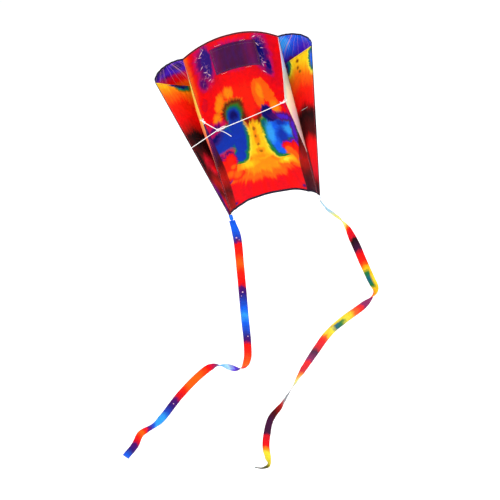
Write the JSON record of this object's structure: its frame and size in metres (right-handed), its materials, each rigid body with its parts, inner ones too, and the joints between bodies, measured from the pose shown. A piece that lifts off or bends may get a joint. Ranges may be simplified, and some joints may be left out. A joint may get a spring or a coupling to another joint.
{
  "type": "soft pocket kite",
  "caption": "Frameless tie-dye pocket kite: bowed centre panel, tapering air cells, triangular keels with a knotted bridle, and ribbon tails.",
  "frame": {"origin": "middle of the tow loop, where the flying line is tied on", "axes": "+Z from the trailing edge to the leading edge along the seams, -Y from the sail towards the flyer, +X to the right as the flyer sees the kite"},
  "size_m": [1.2524, 0.444, 2.0381],
  "materials": {
    "sail_print": "satin",
    "pocket_cloth": "satin",
    "binding_tape": "matte",
    "seam_piping": "matte",
    "upper_skin_print": "satin",
    "lower_skin_print": "satin",
    "keel_print": "satin",
    "keel_hem": "matte",
    "tip_patch": "matte",
    "bridle_line": "matte",
    "tab_webbing": "matte",
    "left_tail_print": "satin",
    "right_tail_print": "satin"
  },
  "bodies": {
    "sail": {"center_panel": "sail_print", "stow_pocket": "pocket_cloth", "center_leading_binding": "binding_tape", "center_trailing_binding": "binding_tape", "left_seam_cord": "seam_piping", "right_seam_cord": "seam_piping"},
    "left_cell": {"left_upper_skin": "upper_skin_print", "left_cell_leading_binding": "binding_tape", "left_lower_skin": "lower_skin_print", "left_cell_lip_hem": "binding_tape", "left_cell_edge_cord": "binding_tape"},
    "right_cell": {"right_upper_skin": "upper_skin_print", "right_cell_leading_binding": "binding_tape", "right_lower_skin": "lower_skin_print", "right_cell_lip_hem": "binding_tape", "right_cell_edge_cord": "binding_tape"},
    "left_keel": {"left_keel_panel": "keel_print", "left_keel_front_hem": "keel_hem", "left_keel_rear_hem": "keel_hem", "left_keel_tip_patch": "tip_patch"},
    "right_keel": {"right_keel_panel": "keel_print", "right_keel_front_hem": "keel_hem", "right_keel_rear_hem": "keel_hem", "right_keel_tip_patch": "tip_patch"},
    "bridle_anchor": {"left_keel_tie_loop": "bridle_line", "right_keel_tie_loop": "bridle_line"},
    "bridle": {"bridle_left_leg": "bridle_line", "bridle_right_leg": "bridle_line", "bridle_knot": "bridle_line", "bridle_spare_loop": "bridle_line", "bridle_tag_end": "bridle_line"},
    "leader": {"leader_line": "bridle_line", "tow_loop": "bridle_line"},
    "left_tab": {"left_tail_tab": "tab_webbing"},
    "left_tail": {"left_tail_ribbon": "left_tail_print", "left_tail_end_hem": "left_tail_print"},
    "right_tab": {"right_tail_tab": "tab_webbing"},
    "right_tail": {"right_tail_ribbon": "right_tail_print", "right_tail_end_hem": "right_tail_print"}
  },
  "joints": [
    {"name": "left_cell_flex", "type": "hinge", "parent": "sail", "child": "left_cell", "pos_m": [0.052, 0.331, -0.159], "axis": [0, 0, 1], "range_deg": [-15, 8]},
    {"name": "right_cell_flex", "type": "hinge", "parent": "sail", "child": "right_cell", "pos_m": [0.382, 0.331, -0.159], "axis": [0, 0, -1], "range_deg": [-15, 8]},
    {"name": "keel_sway", "type": "hinge", "parent": "sail", "child": "left_keel", "pos_m": [0.052, 0.331, 0.004], "axis": [0, 0, 1], "range_deg": [-8, 8]},
    {"name": "right_keel_sway", "type": "hinge", "parent": "sail", "child": "right_keel", "pos_m": [0.382, 0.331, 0.004], "axis": [0, 0, 1], "range_deg": [-8.2, 8.2]},
    {"name": "bridle_turn", "type": "hinge", "parent": "left_keel", "child": "bridle_anchor", "pos_m": [0.07258, 0.19495, 0.004], "axis": [0, 0, 1], "range_deg": [-9.5, 9.5]},
    {"name": "bridle_swing", "type": "hinge", "parent": "bridle_anchor", "child": "bridle", "pos_m": [0.07451, 0.18219, 0.004], "axis": [1, 0, 0], "range_deg": [-30, 30]},
    {"name": "leader_swing", "type": "hinge", "parent": "bridle", "child": "leader", "pos_m": [0.127, 0.106, 0], "axis": [0, 0, 1], "range_deg": [-25, 25]},
    {"name": "left_tab_swing", "type": "hinge", "parent": "sail", "child": "left_tab", "pos_m": [0.0485, 0.328, -0.4905], "axis": [1, 0, 0], "range_deg": [-30, 30]},
    {"name": "left_tail_swing", "type": "hinge", "parent": "left_tab", "child": "left_tail", "pos_m": [0.0485, 0.328, -0.5175], "axis": [0, 1, 0], "range_deg": [-8, 18]},
    {"name": "right_tab_swing", "type": "hinge", "parent": "sail", "child": "right_tab", "pos_m": [0.3855, 0.328, -0.4905], "axis": [1, 0, 0], "range_deg": [-30, 30]},
    {"name": "right_tail_swing", "type": "hinge", "parent": "right_tab", "child": "right_tail", "pos_m": [0.3855, 0.328, -0.5175], "axis": [0, 1, 0], "range_deg": [-18, 8]}
  ],
  "couplings": [
    {"joint": "right_keel_sway", "follows": "keel_sway", "ratio": 1},
    {"joint": "bridle_turn", "follows": "keel_sway", "ratio": -1.1425}
  ]
}
